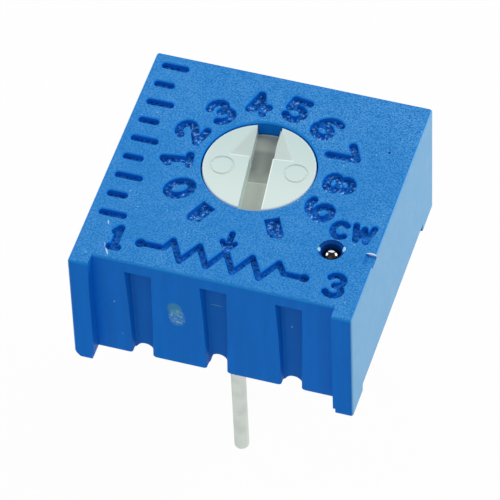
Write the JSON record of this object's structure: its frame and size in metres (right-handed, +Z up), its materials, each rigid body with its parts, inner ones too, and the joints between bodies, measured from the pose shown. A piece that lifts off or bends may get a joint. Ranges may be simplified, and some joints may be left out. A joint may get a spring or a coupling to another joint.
{
  "type": "trimmer potentiometer",
  "caption": "Square blue single-turn trimmer potentiometer with a white slotted rotor on top, a steel vent ball and board leads in a triangle below.",
  "frame": {"origin": "axis of the middle lead where it enters the board, in the plane of the housing's feet", "axes": "+Z up out of the board along the rotor axis; +X along the front face, from lead 1 to lead 3; +Y from the grooved front face to the back"},
  "size_m": [0.0096, 0.0095, 0.0111],
  "materials": {
    "blue_housing": "moulded, fine matt grain on top",
    "white_rotor": "satin, slightly translucent",
    "seal_rubber": "smooth",
    "carrier_metal": "stamped",
    "brush_metal": "bright spring alloy",
    "alumina": "matt fired alumina",
    "cermet": "fired thick film",
    "conductor": "fired silver thick film",
    "potting_epoxy": "cast, slightly glossy",
    "ball_steel": "polished",
    "lead_tin": "dull tinned wire",
    "solder": "satin solder"
  },
  "bodies": {
    "case": {"housing": "blue_housing", "rotor_seal": "seal_rubber", "ceramic_substrate": "alumina", "resistive_track": "cermet", "collector": "conductor", "end_pad_1": "conductor", "end_pad_3": "conductor", "epoxy_seal": "potting_epoxy", "vent_ball": "ball_steel", "terminal_1": "lead_tin", "terminal_2": "lead_tin", "terminal_3": "lead_tin", "solder_joint_1": "solder", "solder_joint_2": "solder", "solder_joint_3": "solder"},
    "rotor_assembly": {"rotor": "white_rotor", "wiper_carrier": "carrier_metal", "wiper_brush": "brush_metal"}
  },
  "joints": [
    {"name": "rotor_turn", "type": "hinge", "parent": "case", "child": "rotor_assembly", "pos_m": [0, 0.00302, 0.004], "axis": [0, 0, 1], "range_deg": [-162, 148]}
  ]
}
